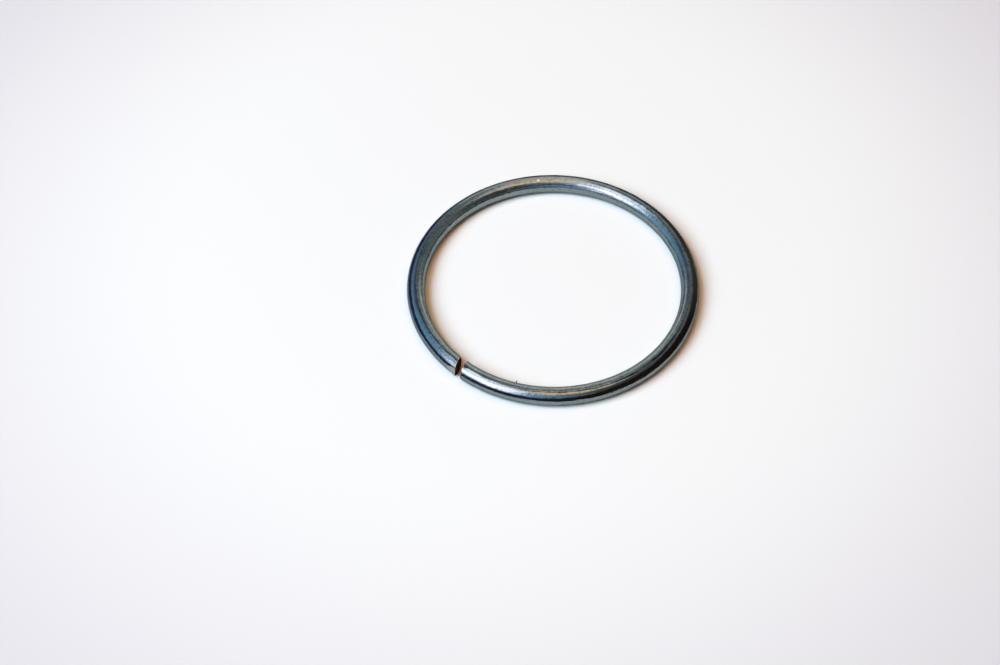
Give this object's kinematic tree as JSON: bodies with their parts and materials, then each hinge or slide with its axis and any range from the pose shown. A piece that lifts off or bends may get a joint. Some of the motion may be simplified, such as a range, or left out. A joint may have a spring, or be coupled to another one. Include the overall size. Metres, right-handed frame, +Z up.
{
  "type": "retaining ring",
  "caption": "Round-wire retaining ring: one open turn of spring steel wire with a narrow slanted split, which springs into a groove round a shaft.",
  "frame": {"origin": "middle of the ring, on the surface it lies on", "axes": "+Z up through the ring's middle, +X and +Y across the ring; the split is at 230 degrees round from +X"},
  "size_m": [0.0402, 0.0402, 0.0025],
  "materials": {
    "spring_steel": "cold-drawn spring wire with a thin blue-grey oxide, satin with fine marks"
  },
  "bodies": {
    "root": {"wire_ring": "spring_steel"}
  },
  "joints": []
}
